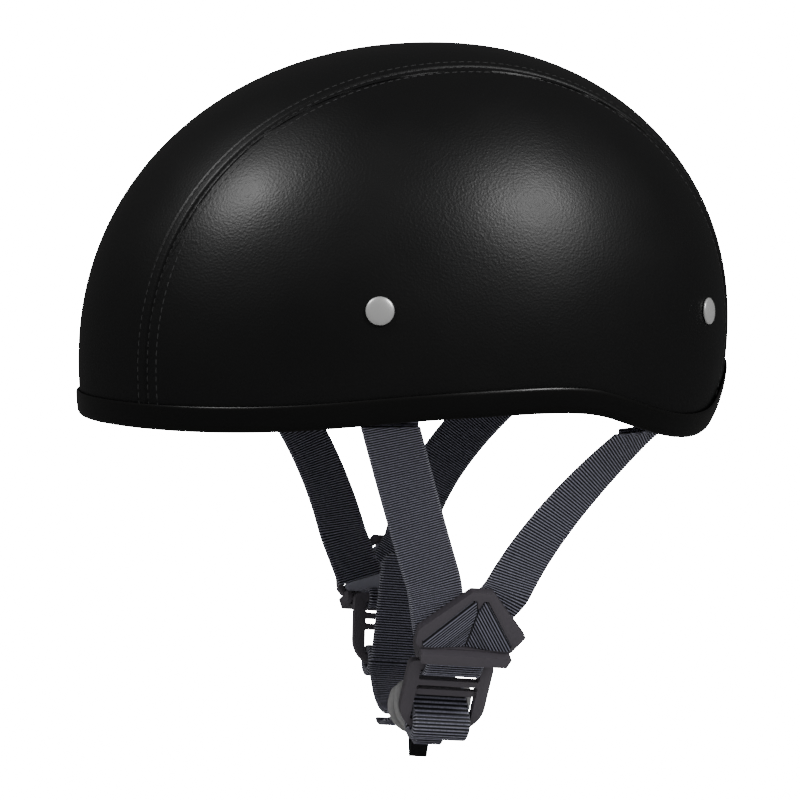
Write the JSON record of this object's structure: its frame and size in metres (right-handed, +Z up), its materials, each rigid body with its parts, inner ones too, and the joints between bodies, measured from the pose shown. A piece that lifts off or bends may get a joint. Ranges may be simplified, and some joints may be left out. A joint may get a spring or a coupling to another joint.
{
  "type": "half shell motorcycle helmet",
  "caption": "Half shell motorcycle helmet covered in black leather, with edge trim, foam liner and a Y harness of webbing, plastic yokes and ladder frames that closes on D rings.",
  "frame": {"origin": "head seat: the underside of the crown pad on the dome's axis, where the top of the head rests", "axes": "+X forward, +Y to the wearer's left, +Z up"},
  "size_m": [0.2814, 0.2266, 0.3052],
  "materials": {
    "leather": "black full grain leather, soft sheen",
    "shell_plastic": "moulded shell, black",
    "trim_rubber": "smooth black extruded beading",
    "foam": "expanded foam, black",
    "lining_fabric": "black knitted lining cloth",
    "pad_fabric": "black padded cloth",
    "rivet_metal": "satin domed heads",
    "webbing": "ribbed navy black webbing",
    "buckle_plastic": "moulded plastic, charcoal",
    "ring_steel": "plated steel wire",
    "tab_ribbon": "black ribbon"
  },
  "bodies": {
    "helmet": {"shell": "shell_plastic", "leather_centre_panel": "leather", "leather_left_panel": "leather", "leather_right_panel": "leather", "edge_trim": "trim_rubber", "impact_liner": "foam", "lining_cloth": "lining_fabric", "crown_pad": "pad_fabric", "brow_pad": "pad_fabric", "left_temple_pad": "pad_fabric", "right_temple_pad": "pad_fabric", "nape_pad": "pad_fabric", "strap_rivets": "rivet_metal", "rivet_washers": "rivet_metal", "left_front_strap_end": "webbing", "left_rear_strap_end": "webbing", "right_front_strap_end": "webbing", "right_rear_strap_end": "webbing"},
    "left_harness": {"left_front_strap": "webbing", "left_rear_strap": "webbing", "left_yoke": "buckle_plastic", "left_link_webbing": "webbing"},
    "right_harness": {"right_front_strap": "webbing", "right_rear_strap": "webbing", "right_yoke": "buckle_plastic", "right_link_webbing": "webbing"},
    "left_frame": {"left_ladder_frame": "buckle_plastic"},
    "right_frame": {"right_ladder_frame": "buckle_plastic", "chin_strap_tail": "webbing"},
    "ring_hanger": {"ring_loop": "webbing", "inner_d_ring": "ring_steel"},
    "release_ring": {"release_d_ring": "ring_steel"},
    "pull_tab_body": {"pull_tab": "tab_ribbon"},
    "chin_strap_body": {"chin_strap": "webbing"}
  },
  "joints": [
    {"name": "left_harness_swing", "type": "hinge", "parent": "helmet", "child": "left_harness", "pos_m": [-0.00664, 0.08892, -0.12361], "axis": [0.9925, 0, 0.1219], "range_deg": [-3, 3]},
    {"name": "right_harness_swing", "type": "hinge", "parent": "helmet", "child": "right_harness", "pos_m": [-0.00664, -0.08892, -0.12361], "axis": [0.9925, 0, 0.1219], "range_deg": [-4.02, 4.02]},
    {"name": "left_frame_swing", "type": "hinge", "parent": "left_harness", "child": "left_frame", "pos_m": [0.00605, 0.04452, -0.22695], "axis": [0.9925, 0, 0.1219], "range_deg": [-3.1, 3.1]},
    {"name": "right_frame_swing", "type": "hinge", "parent": "right_harness", "child": "right_frame", "pos_m": [0.00465, -0.04302, -0.21554], "axis": [0.9925, 0, 0.1219], "range_deg": [-4.02, 4.02]},
    {"name": "ring_loop_swing", "type": "hinge", "parent": "left_frame", "child": "ring_hanger", "pos_m": [0.00932, 0.03643, -0.25356], "axis": [0.9925, 0, 0.1219], "range_deg": [-4.49, 4.49]},
    {"name": "chin_strap_swing", "type": "hinge", "parent": "right_frame", "child": "chin_strap_body", "pos_m": [0.00792, -0.03493, -0.24214], "axis": [0.9925, 0, 0.1219], "range_deg": [-4.49, 4.49]},
    {"name": "release_ring_lift", "type": "hinge", "parent": "ring_hanger", "child": "release_ring", "pos_m": [0.00797, 0.0202, -0.24262], "axis": [0.9925, 0, 0.1219], "range_deg": [-1, 1]},
    {"name": "pull_tab_swing", "type": "hinge", "parent": "release_ring", "child": "pull_tab_body", "pos_m": [0.01035, 0.0125, -0.26197], "axis": [0.9925, 0, 0.1219], "range_deg": [-30, 20]}
  ],
  "couplings": [
    {"joint": "right_harness_swing", "follows": "left_harness_swing", "ratio": 1.3057},
    {"joint": "left_frame_swing", "follows": "left_harness_swing", "ratio": -1},
    {"joint": "right_frame_swing", "follows": "left_harness_swing", "ratio": -1.3057},
    {"joint": "ring_loop_swing", "follows": "left_harness_swing", "ratio": -1.4621},
    {"joint": "chin_strap_swing", "follows": "left_harness_swing", "ratio": -1.4621}
  ]
}
